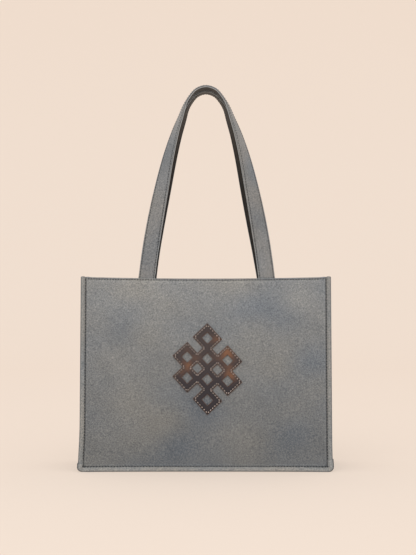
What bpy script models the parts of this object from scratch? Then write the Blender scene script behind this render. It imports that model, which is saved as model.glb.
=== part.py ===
# Suede tote bag with bound edges, two long handles and a leather knot on its front.
# Metres, +Z up. The bag stands on the floor at z = 0 with its front towards -Y, centred on x = 0 and y = 0.

import math

import bmesh
import bpy
from mathutils import Vector

# The body of the bag
BAG_WIDTH = 0.380       # over the bound edges
BAG_HEIGHT = 0.2925     # floor to the rim at the corners
BASE_DEPTH = 0.110      # between the panels' outer faces at the floor
MOUTH_DEPTH = 0.066     # the same at the rim
RIM_SAG = 0.0024        # how far the rim hangs in its middle
BELLY = 0.0045          # how far a panel bulges at half height
MOUTH_BOW = 0.0015      # how far the rim's middle stands out
FLARE = 0.0026          # how far the bottom corners spread
FLARE_RISE = 0.058      # height in which that spread dies out

# The suede and how it is joined
SUEDE = 0.0018          # thickness of a panel, the gussets and the base
HEM_THICKNESS = 0.0032  # a panel where its rim is turned in
HEM_DEPTH = 0.030       # width of that turned strip
GAP = 0.0003            # left between pieces that touch
SEAM_BEND = 0.0015      # radius where a gusset or the base turns into its seam
BASE_LIFT = 0.0080      # underside of the base above the floor
BASE_SAG = 0.0012       # how far the base hangs in its middle
GUSSET_BOW_LOW = 0.002  # how far a gusset is drawn in at the base
GUSSET_BOW_TOP = 0.009  # the same at the rim
GUSSET_DIP = 0.005      # how far a gusset's rim dips in its middle

# The bound edges
BINDING_WIDTH = 0.0080       # strip seen from the front
BINDING_BACK_WIDTH = 0.0065  # strip behind the seam
BINDING_THICKNESS = 0.0012
BINDING_BEND = 0.0018        # radius where the strip folds round the seam, at its middle
BINDING_PROUD = 0.0012       # how far it stands above the rim
BINDING_CORNER = 0.0060      # radius of the bag's bottom corners
BINDING_INNER_CORNER = 0.001
BINDING_TUCK = 0.0012        # how far its top end is drawn in from the bag's edge
FOLD_CLEARANCE = 0.0002      # the seams' cut edges stop this far short of the fold
FLAT_BESIDE_SEAM = 0.0050    # a panel starts to bulge this far from the strip
LAP_HEIGHT = 0.0205          # the bottom strip runs up over the side strips to here
LAP_START = 0.0090           # a side strip starts here, inside the bottom one

# The handles
HANDLE_WIDTH = 0.025
HANDLE_LAYER = 0.0015     # suede outside, dark leather inside, one of each
HANDLE_SPACING = 0.183    # centre to centre at the rim
HANDLE_RISE = 0.2932      # rim to the top of the front loop, at the band's middle
HANDLE_SHIFT = 0.0012     # the loops' feet to the right of the bag's middle
HANDLE_DRIFT = 0.0011     # how far their tops lean back to the left
HANDLE_TAIL = 0.028       # sewn length below the rim
HANDLE_TURN = 93.0        # degrees that the band has twisted by at the top
HANDLE_TURN_START = 0.14  # share of the rise below which the band isn't twisted
HANDLE_TURN_EASE = 1.1    # power of the height that the twist follows from there
HANDLES_APART = 0.0010    # between the two loops where they meet at the top
BACK_LOOP_LOWER = 0.0030  # how much lower the back loop's top is
BACK_LOOP_NARROWER = 0.0027  # how far each of its legs is drawn in half way up
BACK_LOOP_TIGHTER = 0.06     # share by which its top is narrower still
BACK_LOOP_ASIDE = 0.0026     # how far its legs lean to the left between their ends
HANDLE_STEPS = 34         # sections in each half of a handle

# The knot on the front
KNOT_HOLE = 0.0119        # side of its square holes
KNOT_BAND = 0.0096        # width of its bands
KNOT_THICKNESS = 0.0020
KNOT_STRETCH = 1.025      # share by which it is taller than a true square lattice
KNOT_HEIGHT = 0.1548      # its centre above the floor
KNOT_SHIFT = 0.0023       # its centre to the right of the bag's
KNOT_SKEW = 4.7           # degrees that its level axis drops to the right

HALF_WIDTH = BAG_WIDTH / 2
SEAM = HALF_WIDTH - BINDING_WIDTH
SEAM_STACK = 2 * SUEDE + GAP
SEAM_MIDDLE = SUEDE + GAP + SUEDE / 2
EDGE_SETBACK = BINDING_THICKNESS / 2 + BINDING_BEND + FOLD_CLEARANCE
FLAT_MARGIN = BINDING_WIDTH + FLAT_BESIDE_SEAM
BASE_TOP = BASE_LIFT + SUEDE
HANDLE_THICKNESS = 2 * HANDLE_LAYER + GAP

# One half of a handle's middle line, from the sewn end to the top of the loop, as shares:
# up = of HANDLE_RISE above the rim, out = of half HANDLE_SPACING
HANDLE_LINE = (
    {"up": 0.00, "out": 1.000},
    {"up": 0.16, "out": 0.933},
    {"up": 0.33, "out": 0.842},
    {"up": 0.50, "out": 0.736},
    {"up": 0.64, "out": 0.637},
    {"up": 0.76, "out": 0.530},
    {"up": 0.85, "out": 0.427},
    {"up": 0.915, "out": 0.351},
    {"up": 0.957, "out": 0.258},
    {"up": 0.987, "out": 0.152},
    {"up": 1.00, "out": 0.000},
)
HANDLE_TAIL_SLOPE = 0.10  # sideways run of a sewn end for each unit of its length

# Where a panel's columns stand, as shares of its half width, and its rows, as shares of the height below its hem
PANEL_COLUMNS = (0.0, 0.15, 0.31, 0.48, 0.64, 0.78, 0.90, 0.948, 0.972, 0.988, 0.996, 1.0)
PANEL_ROWS = (0.0, 0.024, 0.054, 0.10, 0.20, 0.35, 0.52, 0.69, 0.84, 0.97)
SIDE_ROWS = (0.0, 0.02, 0.05, 0.09, 0.20, 0.36, 0.52, 0.68, 0.84, 1.0)
GUSSET_COLUMNS = (0.88, 0.68, 0.45, 0.22)

# Holes of the knot on its slanted lattice, each with a square frame of bands round it
KNOT_CENTRE = (0.5, -0.5)
KNOT_FRAMES = (
    {"right_down": 0, "right_up": 0},
    {"right_down": 1, "right_up": -1},
    {"right_down": -1, "right_up": 1},
    {"right_down": -1, "right_up": -1},
    {"right_down": 1, "right_up": 1},
    {"right_down": 0, "right_up": -2},
    {"right_down": 2, "right_up": 0},
    {"right_down": 2, "right_up": -2},
)


def make_material(name, colour, roughness):
    material = bpy.data.materials.new(name)
    material.use_nodes = True
    shader = material.node_tree.nodes["Principled BSDF"]
    shader.inputs["Base Color"].default_value = (*colour, 1.0)
    shader.inputs["Roughness"].default_value = roughness
    shader.inputs["Metallic"].default_value = 0.0
    return material


def add_solid(name, points, faces, material):
    """Makes an object of a closed mesh and points its faces outwards."""
    mesh = bpy.data.meshes.new(name)
    mesh.from_pydata([Vector(p) for p in points], [], faces)
    work = bmesh.new()
    work.from_mesh(mesh)
    bmesh.ops.recalc_face_normals(work, faces=work.faces)
    work.to_mesh(mesh)
    work.free()
    mesh.materials.append(material)
    mesh.shade_smooth()
    mesh.set_sharp_from_angle(angle=math.radians(40))
    thing = bpy.data.objects.new(name, mesh)
    bpy.context.scene.collection.objects.link(thing)
    return thing


def thick_sheet(name, face, back, material):
    """Closes two equal grids of points, the two sides of a sheet, into one solid.

    Both sides are split along the same diagonals, so a twisted sheet stays parallel to the next one.
    """
    rows, columns = len(face), len(face[0])
    points = [p for side in (face, back) for row in side for p in row]

    def at(side, row, column):
        return (side * rows + row) * columns + column

    faces = []
    for row in range(rows - 1):
        for column in range(columns - 1):
            corners = ((row, column), (row, column + 1), (row + 1, column + 1), (row + 1, column))
            for half in (corners[:3], (corners[0], *corners[2:])):
                faces.append([at(0, *c) for c in half])
                faces.append([at(1, *c) for c in reversed(half)])
    edge = [(0, c) for c in range(columns)]
    edge += [(r, columns - 1) for r in range(1, rows)]
    edge += [(rows - 1, c) for c in range(columns - 2, -1, -1)]
    edge += [(r, 0) for r in range(rows - 2, 0, -1)]
    for here, there in zip(edge, edge[1:] + edge[:1]):
        faces.append((at(0, *there), at(0, *here), at(1, *here), at(1, *there)))
    return add_solid(name, points, faces, material)


def half_depth(height):
    """Half the bag's depth at a height: the panels lean together towards the rim."""
    share = height / BAG_HEIGHT
    return (BASE_DEPTH * (1 - share) + MOUTH_DEPTH * share) / 2


def bulge(x, height):
    """How far a panel stands out of its leaning plane. It is flat along its seams."""
    across = max(0.0, 1 - (x / (HALF_WIDTH - FLAT_MARGIN)) ** 2) ** 1.5
    up = max(0.0, (height - FLAT_MARGIN) / (BAG_HEIGHT - FLAT_MARGIN))
    return across * (BELLY * math.sin(math.pi * min(up, 1.0)) + MOUTH_BOW * up ** 2)


def spread(x, height):
    """Moves a point sideways with the bottom corners' flare, which eases in and out."""
    rise = max(0.0, 1 - height / FLARE_RISE)
    return x * (1 + FLARE / HALF_WIDTH * rise ** 2 * (3 - 2 * rise))


def on_panel(x, height, inset, side):
    """A point at a depth below a panel's outer face. side is -1 for the front and 1 for the back."""
    y = side * (half_depth(height) + bulge(x, height) - inset)
    sag = RIM_SAG * (1 - (x / HALF_WIDTH) ** 2) * (height / BAG_HEIGHT) ** 2
    return (spread(x, height), y, height - sag)


def make_panel(name, side, material):
    """A panel: rows run up it, columns across. Its bottom corners are round and its rim is turned in."""
    half = HALF_WIDTH - EDGE_SETBACK
    shares = [-s for s in reversed(PANEL_COLUMNS[1:])] + list(PANEL_COLUMNS)
    hem_start = BAG_HEIGHT - HEM_DEPTH
    outside, inside = [], []

    def lowest(x):
        run = abs(x) - (half - BINDING_CORNER)
        if run <= 0:
            return EDGE_SETBACK
        return EDGE_SETBACK + BINDING_CORNER - math.sqrt(max(0.0, BINDING_CORNER ** 2 - run ** 2))

    def add_row(heights, thickness):
        outside.append([on_panel(half * s, h, 0.0, side) for s, h in zip(shares, heights)])
        inside.append([on_panel(half * s, h, t, side) for s, h, t in zip(shares, heights, thickness)])

    plain = [SUEDE] * len(shares)
    hemmed = [HEM_THICKNESS if abs(s) * half < SEAM - 2 * SUEDE - GAP else SUEDE for s in shares]
    for row in PANEL_ROWS:
        low = [lowest(half * s) for s in shares]
        add_row([z + (hem_start - z) * row for z in low], plain)
    for height, thickness in ((hem_start, hemmed), ((hem_start + BAG_HEIGHT) / 2, hemmed), (BAG_HEIGHT, hemmed)):
        add_row([height] * len(shares), thickness)
    return thick_sheet(name, outside, inside, material)


def make_gusset(name, side, material):
    """A side: a channel whose edges turn out into the seams. side is -1 for the left and 1 for the right."""
    low = BASE_TOP + GAP
    middle = SEAM - SUEDE
    outside, inside = [], []

    def section(row, offset):
        """From the front seam's edge round to the back's, one side of the suede."""
        front = []
        height = low + row * (BAG_HEIGHT - low)
        radius = SEAM_BEND - offset
        bend = (middle + SEAM_BEND, SEAM_MIDDLE + SEAM_BEND)
        for x, inset in (
            (HALF_WIDTH - EDGE_SETBACK, SEAM_MIDDLE + offset),
            (bend[0], bend[1] - radius),
            (bend[0] - radius * math.sqrt(0.5), bend[1] - radius * math.sqrt(0.5)),
            (bend[0] - radius, bend[1]),
        ):
            front.append((x, inset - half_depth(height), height))
        for share in GUSSET_COLUMNS:
            dip = GUSSET_DIP * (1 - share ** 2) ** 2
            z = low + row * (BAG_HEIGHT - dip - low)
            bow = GUSSET_BOW_LOW + (GUSSET_BOW_TOP - GUSSET_BOW_LOW) * row
            x = middle + offset - bow * (1 - share ** 2) ** 2
            front.append((x, -share * (half_depth(z) - bend[1]), z))
        whole = front + [(x, -y, z) for x, y, z in reversed(front)]
        return [(side * spread(x, z), y, z) for x, y, z in whole]

    for row in SIDE_ROWS:
        outside.append(section(row, SUEDE / 2))
        inside.append(section(row, -SUEDE / 2))
    return thick_sheet(name, outside, inside, material)


def make_base(name, material):
    """The base: a shallow channel, upside down, whose edges turn down into the seams."""
    end = SEAM - GAP - SUEDE / 2
    web = BASE_LIFT + SUEDE / 2
    upper, lower = [], []

    def section(x, offset):
        front = []
        radius = SEAM_BEND + offset
        bend = (SEAM_MIDDLE + SEAM_BEND, web - SEAM_BEND)
        for inset, z in (
            (SEAM_MIDDLE - offset, EDGE_SETBACK),
            (bend[0] - radius, bend[1]),
            (bend[0] - radius * math.sqrt(0.5), bend[1] + radius * math.sqrt(0.5)),
            (bend[0], bend[1] + radius),
        ):
            front.append((inset - half_depth(z), z))
        for share in (0.80, 0.50, 0.20):
            ends = 1 - (x / end) ** 4
            front.append((share * (bend[0] - half_depth(web)), web + offset - BASE_SAG * ends * (1 - share ** 2)))
        whole = front + [(-y, z) for y, z in reversed(front)]
        return [(spread(x, z), y, z) for y, z in whole]

    for share in (-1.0, -0.92, -0.66, -0.33, 0.0, 0.33, 0.66, 0.92, 1.0):
        upper.append(section(share * end, SUEDE / 2))
        lower.append(section(share * end, -SUEDE / 2))
    return thick_sheet(name, upper, lower, material)


def binding_profile(offset, grow):
    """The folded strip's section as (from the edge inwards, depth below the panel's face), one side of it.

    It runs along the front lip, round the bag's edge and along the lip behind. grow lifts it off by that much.
    """
    across = BINDING_THICKNESS / 2 + BINDING_BEND
    near = BINDING_BEND - GAP - BINDING_THICKNESS / 2
    far = SEAM_STACK + GAP + BINDING_THICKNESS / 2 - BINDING_BEND
    radius = BINDING_BEND + offset + grow
    slant = radius * math.sqrt(0.5)
    return (
        (BINDING_WIDTH, near - radius),
        (across, near - radius),
        (across - slant, near - slant),
        (across - radius, near),
        (across - radius, far),
        (across - slant, far + slant),
        (across, far + radius),
        (BINDING_BACK_WIDTH, far + radius),
    )


def make_side_binding(name, across, side, material):
    """A strip up one side. across is -1 for the left and 1 for the right, side as for the panels."""
    rows = [{"height": LAP_START + s * (BAG_HEIGHT - LAP_START), "tuck": 0.0} for s in SIDE_ROWS]
    rows.append({"height": BAG_HEIGHT + BINDING_PROUD / 2, "tuck": BINDING_TUCK / 4})
    rows.append({"height": BAG_HEIGHT + BINDING_PROUD, "tuck": BINDING_TUCK})
    outside, inside = [], []
    for grid, offset in ((outside, BINDING_THICKNESS / 2), (inside, -BINDING_THICKNESS / 2)):
        for row in rows:
            points = []
            for inwards, inset in binding_profile(offset, 0.0):
                x = HALF_WIDTH - row["tuck"] * (1 - inwards / BINDING_WIDTH) - inwards
                y = side * (half_depth(row["height"]) - inset)
                points.append((across * spread(x, row["height"]), y, row["height"]))
            grid.append(points)
    return thick_sheet(name, outside, inside, material)


def make_bottom_binding(name, side, material):
    """The strip along the bottom, round both corners and up over the ends of the side strips."""
    lift = BINDING_THICKNESS + GAP
    right = []
    for share in (0.0, 0.33, 0.66, 0.90, 0.97):
        x = share * (SEAM - BINDING_INNER_CORNER)
        right.append({"edge": (x, 0.0), "inner": (x, BINDING_WIDTH), "grow": 0.0})
    for step in range(6):
        angle = math.radians(90) * step / 5
        out, up = math.sin(angle), 1 - math.cos(angle)
        edge = (HALF_WIDTH - BINDING_CORNER + BINDING_CORNER * out, BINDING_CORNER * up)
        inner = (SEAM - BINDING_INNER_CORNER * (1 - out), BINDING_WIDTH + BINDING_INNER_CORNER * up)
        right.append({"edge": edge, "inner": inner, "grow": lift * out ** 2})
    start = BINDING_WIDTH + BINDING_INNER_CORNER
    for share in (0.25, 0.50, 0.75, 1.0):
        height = start + share * (LAP_HEIGHT - start)
        right.append({"edge": (HALF_WIDTH, height), "inner": (SEAM, height), "grow": lift})
    left = [
        {"edge": (-r["edge"][0], r["edge"][1]), "inner": (-r["inner"][0], r["inner"][1]), "grow": r["grow"]}
        for r in reversed(right[1:])
    ]
    outside, inside = [], []
    for grid, offset in ((outside, BINDING_THICKNESS / 2), (inside, -BINDING_THICKNESS / 2)):
        for row in left + right:
            points = []
            for inwards, inset in binding_profile(offset, row["grow"]):
                share = inwards / BINDING_WIDTH
                x = row["edge"][0] + (row["inner"][0] - row["edge"][0]) * share
                z = row["edge"][1] + (row["inner"][1] - row["edge"][1]) * share
                points.append((spread(x, z), side * (half_depth(z) - inset), z))
            grid.append(points)
    return thick_sheet(name, outside, inside, material)


def smooth_line(points, steps):
    """Points along a Catmull-Rom curve through the given ones, evenly spaced by its own length."""
    fine = []
    for i in range(len(points) - 1):
        before = points[max(i - 1, 0)]
        after = points[min(i + 2, len(points) - 1)]
        here, there = points[i], points[i + 1]
        for k in range(24):
            t = k / 24
            fine.append(0.5 * (2 * here + (there - before) * t
                               + (2 * before - 5 * here + 4 * there - after) * t ** 2
                               + (3 * here - before - 3 * there + after) * t ** 3))
    fine.append(points[-1])
    lengths = [0.0]
    for a, b in zip(fine, fine[1:]):
        lengths.append(lengths[-1] + (b - a).length)
    line, place = [], 0
    for step in range(steps + 1):
        target = lengths[-1] * step / steps
        while place < len(fine) - 2 and lengths[place + 1] < target:
            place += 1
        share = (target - lengths[place]) / (lengths[place + 1] - lengths[place])
        line.append(fine[place].lerp(fine[place + 1], share))
    return line


def handle_middle(lower, narrower, tighter, aside):
    """The handle's middle line in (x, height), from the left sewn end over the loop to the right one.

    lower, narrower and tighter say how much smaller this loop is than the one in the table, and aside how far
    it leans to the left between its ends.
    """
    rim = BAG_HEIGHT - RIM_SAG
    half = HANDLE_SPACING / 2
    tail = Vector((half + HANDLE_TAIL_SLOPE * HANDLE_TAIL, rim - HANDLE_TAIL))
    right = [tail, tail.lerp(Vector((half, rim)), 0.5)]
    for row in HANDLE_LINE:
        out = half * row["out"] * (1 - tighter * row["up"] ** 3) - narrower * math.sin(math.pi * row["up"])
        right.append(Vector((out, rim + (HANDLE_RISE - lower) * row["up"])))
    left = [Vector((-p.x, p.y)) for p in right]
    line = smooth_line(left + list(reversed(right[:-1])), 2 * HANDLE_STEPS)
    moved = []
    for x, height in line:
        share = min(1.0, max(0.0, (height - rim) / HANDLE_RISE))
        lean = HANDLE_DRIFT * share ** 3 + aside * math.sin(math.pi * share) * (1 - share)
        moved.append(Vector((x + HANDLE_SHIFT - lean, height)))
    return moved


def handle_depth(x, height, side):
    """The middle line's y: along the panel's hem below the rim, above it curving in towards the other handle."""
    inset = HEM_THICKNESS + GAP + HANDLE_THICKNESS / 2
    rim = BAG_HEIGHT - RIM_SAG
    if height <= rim:
        return on_panel(x, height + RIM_SAG * (1 - (x / HALF_WIDTH) ** 2), inset, side)[1]
    share = min(1.0, (height - rim) / HANDLE_RISE)
    start = half_depth(BAG_HEIGHT) + bulge(HANDLE_SPACING / 2, BAG_HEIGHT) - inset
    lean = (MOUTH_DEPTH - BASE_DEPTH) / 2 / BAG_HEIGHT * HANDLE_RISE
    end = (HANDLE_WIDTH + HANDLES_APART) / 2
    blend = start * (1 + 2 * share) * (1 - share) ** 2 + lean * share * (1 - share) ** 2
    return side * (blend + end * share ** 2 * (3 - 2 * share))


def make_handle_layer(name, side, low, high, material):
    """One layer of a handle, between two distances from the band's middle, outwards being positive."""
    rim = BAG_HEIGHT - RIM_SAG
    back = (BACK_LOOP_LOWER, BACK_LOOP_NARROWER, BACK_LOOP_TIGHTER, BACK_LOOP_ASIDE)
    size = (0.0, 0.0, 0.0, 0.0) if side < 0 else back
    line = [Vector((p.x, handle_depth(p.x, p.y, side), p.y)) for p in handle_middle(*size)]
    reach = HANDLE_WIDTH / 2
    upper, lower = [], []
    for i, point in enumerate(line):
        along = (line[min(i + 1, len(line) - 1)] - line[max(i - 1, 0)]).normalized()
        height = min(point.z, BAG_HEIGHT)
        slope = (bulge(point.x + reach, height) - bulge(point.x - reach, height)) / (2 * reach)
        outward = Vector((-slope, side, 0))
        to_inside = along.cross(outward).normalized() * -side
        facing = along.cross(to_inside).normalized() * side
        share = ((point.z - rim) / HANDLE_RISE - HANDLE_TURN_START) / (1 - HANDLE_TURN_START)
        turn = math.radians(HANDLE_TURN) * max(0.0, share) ** HANDLE_TURN_EASE
        normal = facing * math.cos(turn) - to_inside * math.sin(turn)
        width = to_inside * math.cos(turn) + facing * math.sin(turn)
        edges = [width * (reach * s) for s in (-1.0, 0.0, 1.0)]
        upper.append([point + e + normal * high for e in edges])
        lower.append([point + e + normal * low for e in edges])
    return thick_sheet(name, upper, lower, material)


def make_knot(name, material):
    """The knot: bands round the holes of a slanted lattice, cut from one piece and laid on the front panel."""
    pitch = KNOT_HOLE + KNOT_BAND
    hole = KNOT_HOLE / pitch / 2
    cells = set()
    for frame in KNOT_FRAMES:
        i, j = 2 * frame["right_down"], 2 * frame["right_up"]
        cells |= {(i + a, j + b) for a in (-1, 0, 1) for b in (-1, 0, 1) if (a, b) != (0, 0)}

    def line(step):
        """Lattice lines in pitches: cell k lies between line k and line k + 1, an even cell being a hole wide."""
        whole = step // 2
        return whole - hole if step % 2 == 0 else whole + hole

    def place(i, j, inset):
        right_down = (line(i) - KNOT_CENTRE[0]) * pitch * math.sqrt(0.5)
        right_up = (line(j) - KNOT_CENTRE[1]) * pitch * math.sqrt(0.5)
        x = right_down + right_up
        z = (right_up - right_down) * KNOT_STRETCH - math.tan(math.radians(KNOT_SKEW)) * x
        return on_panel(x + KNOT_SHIFT, z + KNOT_HEIGHT, inset, -1)

    corners = sorted({(i + a, j + b) for i, j in cells for a in (0, 1) for b in (0, 1)})
    index = {corner: k for k, corner in enumerate(corners)}
    count = len(corners)
    points = [place(i, j, -GAP - KNOT_THICKNESS) for i, j in corners]
    points += [place(i, j, -GAP) for i, j in corners]
    faces = []
    for i, j in sorted(cells):
        around = [index[c] for c in ((i, j), (i + 1, j), (i + 1, j + 1), (i, j + 1))]
        faces.append(around)
        faces.append([k + count for k in reversed(around)])
        for step, here, there in (((0, -1), 0, 1), ((1, 0), 1, 2), ((0, 1), 2, 3), ((-1, 0), 3, 0)):
            if (i + step[0], j + step[1]) not in cells:
                faces.append((around[there], around[here], around[here] + count, around[there] + count))
    return add_solid(name, points, faces, material)


def build():
    for thing in list(bpy.data.objects):
        bpy.data.objects.remove(thing, do_unlink=True)
    suede = make_material("blue_grey_suede", (0.205, 0.215, 0.225), 0.95)
    binding = make_material("binding_suede", (0.235, 0.240, 0.245), 0.92)
    backing = make_material("dark_handle_leather", (0.040, 0.036, 0.033), 0.70)
    brown = make_material("brown_knot_leather", (0.085, 0.050, 0.034), 0.50)

    for word, side in (("front", -1), ("back", 1)):
        make_panel(f"{word}_panel", side, suede)
        make_bottom_binding(f"{word}_bottom_binding", side, binding)
        for hand, across in (("left", -1), ("right", 1)):
            make_side_binding(f"{word}_{hand}_binding", across, side, binding)
        outer = HANDLE_THICKNESS / 2
        make_handle_layer(f"{word}_handle", side, outer - HANDLE_LAYER, outer, suede)
        make_handle_layer(f"{word}_handle_backing", side, -outer, HANDLE_LAYER - outer, backing)
    for hand, side in (("left", -1), ("right", 1)):
        make_gusset(f"{hand}_gusset", side, suede)
    make_base("base_panel", suede)
    make_knot("knot_applique", brown)


build()
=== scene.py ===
import math

import bpy
import numpy as np
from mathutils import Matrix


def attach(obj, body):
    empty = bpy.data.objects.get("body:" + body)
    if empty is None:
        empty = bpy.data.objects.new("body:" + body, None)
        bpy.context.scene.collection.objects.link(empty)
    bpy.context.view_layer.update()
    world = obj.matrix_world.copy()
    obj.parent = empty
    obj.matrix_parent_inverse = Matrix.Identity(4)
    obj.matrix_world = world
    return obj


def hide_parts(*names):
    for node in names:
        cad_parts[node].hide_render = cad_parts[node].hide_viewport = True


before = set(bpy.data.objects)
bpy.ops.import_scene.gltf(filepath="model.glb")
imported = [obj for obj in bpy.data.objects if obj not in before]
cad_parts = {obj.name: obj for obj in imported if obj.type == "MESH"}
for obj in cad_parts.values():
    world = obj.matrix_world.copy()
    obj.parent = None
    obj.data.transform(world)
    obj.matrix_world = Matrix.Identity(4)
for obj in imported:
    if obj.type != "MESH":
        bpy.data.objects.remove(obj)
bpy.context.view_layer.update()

print("frame loaded:", len(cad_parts), "nodes")

# Metres throughout, +Z up, the front looks towards -Y.
# The bag's own sizes, those of the solids that the pieces stand for
bag = {
    "width": 0.380, "height": 0.2925,    # over the bound edges, floor to rim at the corners
    "baseDepth": 0.110, "mouthDepth": 0.066,    # between the panels' faces at the floor and at the rim
    "rimSag": 0.0024, "belly": 0.0045, "mouthBow": 0.0015,    # hang of the rim, swell, bow at the rim
    "flare": {"left": 0.0021, "right": 0.0007},  # spread of the bottom corners
    "flareRise": {"left": 0.072, "right": 0.045},    # height where it dies out
    "flatMargin": 0.013,    # a panel is flat this far from its edges
    "suede": 0.0018, "gap": 0.0003,
    "seam": 0.0080,    # width of the seams all round, under the strips
    "setback": 0.0026,    # cut edges stop this far inside the bound edge
    "seamBend": 0.0015,    # radius where gusset and base turn into a seam
}
halfWidth = bag["width"] / 2
seamMiddle = bag["suede"] * 1.5 + bag["gap"]    # depth of a gusset's edge below the panel's face
sides = {"front": -1, "back": 1}    # which way along Y each one looks

# what each piece's slow random swell starts from
seeds = {"dents": 11, "gussetDents": 31, "handle": 41, "handleInside": 43, "panel": 51, "panelInside": 61,
         "gusset": 71, "gussetInside": 81, "baseInside": 91, "base": 92, "binding": 101, "bindingInside": 3}


def hexColour(code):
    # sRGB hex to the linear colour that the shaders take
    srgb = np.array([int(code[k:k + 2], 16) for k in (1, 3, 5)]) / 255
    linear = np.where(srgb <= 0.04045, srgb / 12.92, ((srgb + 0.055) / 1.055) ** 2.4)
    return (*linear.tolist(), 1.0)


def addNode(tree, kind, inputs=None, **settings):
    # one node, its settings, and for each input a value, a hex colour, or the socket or node that feeds it
    node = tree.nodes.new("ShaderNode" + kind)
    for key, value in settings.items():
        setattr(node, key, value)
    for key, value in (inputs or {}).items():
        if isinstance(value, bpy.types.Node):
            value = next(socket for socket in value.outputs if socket.enabled)
        if isinstance(value, bpy.types.NodeSocket):
            tree.links.new(value, node.inputs[key])
        else:
            node.inputs[key].default_value = hexColour(value) if isinstance(value, str) else value
    return node


def newMaterial(name):
    material = bpy.data.materials.new(name)
    material.use_nodes = True
    material.node_tree.nodes.clear()
    return material, material.node_tree


# Shapes shared by the pieces

def pointsAt(*coordinates):
    # points from their coordinates, each of them a grid, a row, a column or a number
    return np.stack(np.broadcast_arrays(*coordinates), -1)


def halfDepth(z):
    # half the bag's depth: from half the base's at the floor evenly to half the mouth's at the rim
    share = z / bag["height"]
    return (bag["baseDepth"] * (1 - share) + bag["mouthDepth"] * share) / 2


def bulge(x, z):
    # a panel stands out by a half wave up its height plus a bow at the rim, dying out towards its seams
    across = np.maximum(0, 1 - (x / (halfWidth - bag["flatMargin"])) ** 2) ** 1.5
    up = np.maximum(0, (z - bag["flatMargin"]) / (bag["height"] - bag["flatMargin"]))
    return across * (bag["belly"] * np.sin(np.pi * np.minimum(up, 1)) + bag["mouthBow"] * up ** 2)


def spreadOut(x, z):
    # the bottom corners spread in an S curve of the height left below the flare's end
    flare, top = (np.where(x < 0, bag[key]["left"], bag[key]["right"]) for key in ("flare", "flareRise"))
    return x * (1 + flare / halfWidth * smoothStep(1 - z / top, 0, 1))


def rimDrop(x, z):
    # the rim hangs along a parabola, and what is below it follows with the square of the height
    return bag["rimSag"] * (1 - (x / halfWidth) ** 2) * (z / bag["height"]) ** 2


def onPanel(x, z, inset, side):
    # a point below a panel's face by inset; side is -1 for the front and 1 for the back
    y = side * (halfDepth(z) + bulge(x, z) - inset)
    return pointsAt(spreadOut(x, z), y, z - rimDrop(x, z))


def roundedEdge(distance, radius):
    # how far a face falls beside a cut or folded edge: a quarter circle
    run = np.clip(radius - distance, 0, radius)
    return radius - np.sqrt(radius ** 2 - run ** 2)


def waves(x, z, seed, longest, shortest, count=18):
    # slow uneven swell: a sum of plane waves of random direction and phase, about 1 high
    dice = np.random.default_rng(seed)
    total = np.zeros(np.broadcast(x, z).shape)
    for k in range(count):
        angle, phase = dice.uniform(0, 2 * np.pi, 2)
        turns = 2 * np.pi / dice.uniform(shortest, longest)
        total += np.sin(turns * (x * np.cos(angle) + z * np.sin(angle)) + phase)
    return total / math.sqrt(count / 2)


def smoothStep(value, low, high):
    share = np.clip((value - low) / (high - low), 0, 1)
    return share * share * (3 - 2 * share)


def bands(distance, table):
    # sum of Gaussian bells along a distance, each (height, place, width)
    return sum(height * np.exp(-((distance - place) / width) ** 2) for height, place, width in table)


def stretches(*runs):
    # one run of numbers from pieces of (start, end, steps)
    parts = [np.linspace(a, b, n, endpoint=False) for a, b, n in runs]
    return np.append(np.concatenate(parts), runs[-1][1])


def evenly(line, count):
    # the same line again with its points evenly spaced along it; columns past the third only follow
    run = np.concatenate([[0], np.cumsum(np.linalg.norm(np.diff(line[:, :3], axis=0), axis=1))])
    at = np.linspace(0, run[-1], count)
    return np.stack([np.interp(at, run, line[:, k]) for k in range(line.shape[1])], -1)


def unit(vectors):
    return vectors / np.linalg.norm(vectors, axis=-1, keepdims=True)


def gridNormals(grid, axis, side, column=None):
    # unit normals of a grid, the cross product of its two directions, all turned alike,
    # so that the one half way up the column given, or the middle one, points to this side along an axis
    normals = unit(np.cross(np.gradient(grid, axis=0), np.gradient(grid, axis=1)))
    column = grid.shape[1] // 2 if column is None else column
    return normals * np.sign(normals[len(grid) // 2, column, axis] * side)


def mirrored(parts):
    # a section's front half, joined from its parts, and the same again for the back
    half = np.concatenate(parts, 1)
    return np.concatenate([half, half[:, ::-1] * [1, -1, 1]], 1)


def gridQuads(index):
    # the four-cornered faces of a grid of point numbers
    return np.stack([index[:-1, :-1], index[:-1, 1:], index[1:, 1:], index[1:, :-1]], -1).reshape(-1, 4)


def addObject(name, data):
    thing = bpy.data.objects.new(name, data)
    bpy.context.scene.collection.objects.link(thing)
    return thing


def makeMesh(name, points, quads, material, attributes=None):
    # an object at the origin from arrays of points and four-cornered faces, which are turned so that
    # the volume inside them is positive
    a, b, c, d = (points[quads[:, k]] for k in range(4))
    volume = (a * np.cross(b, c)).sum() + (a * np.cross(c, d)).sum()
    if volume < 0:
        quads = quads[:, ::-1]
    mesh = bpy.data.meshes.new(name)
    mesh.vertices.add(len(points))
    mesh.vertices.foreach_set("co", points.astype(np.float32).ravel())
    mesh.loops.add(quads.size)
    mesh.loops.foreach_set("vertex_index", np.ascontiguousarray(quads, dtype=np.int32).ravel())
    mesh.polygons.add(len(quads))
    mesh.polygons.foreach_set("loop_start", np.arange(0, quads.size, 4, dtype=np.int32))
    mesh.update(calc_edges=True)
    mesh.validate()
    for key, values in (attributes or {}).items():
        layer = mesh.attributes.new(key, "FLOAT", "POINT")
        layer.data.foreach_set("value", values.astype(np.float32).ravel())
    mesh.shade_smooth()
    mesh.materials.append(material)
    return addObject(name, mesh)


def finishPiece(piece, slot, *nodes):
    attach(piece, "root")
    if nodes:
        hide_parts(*nodes)


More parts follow.
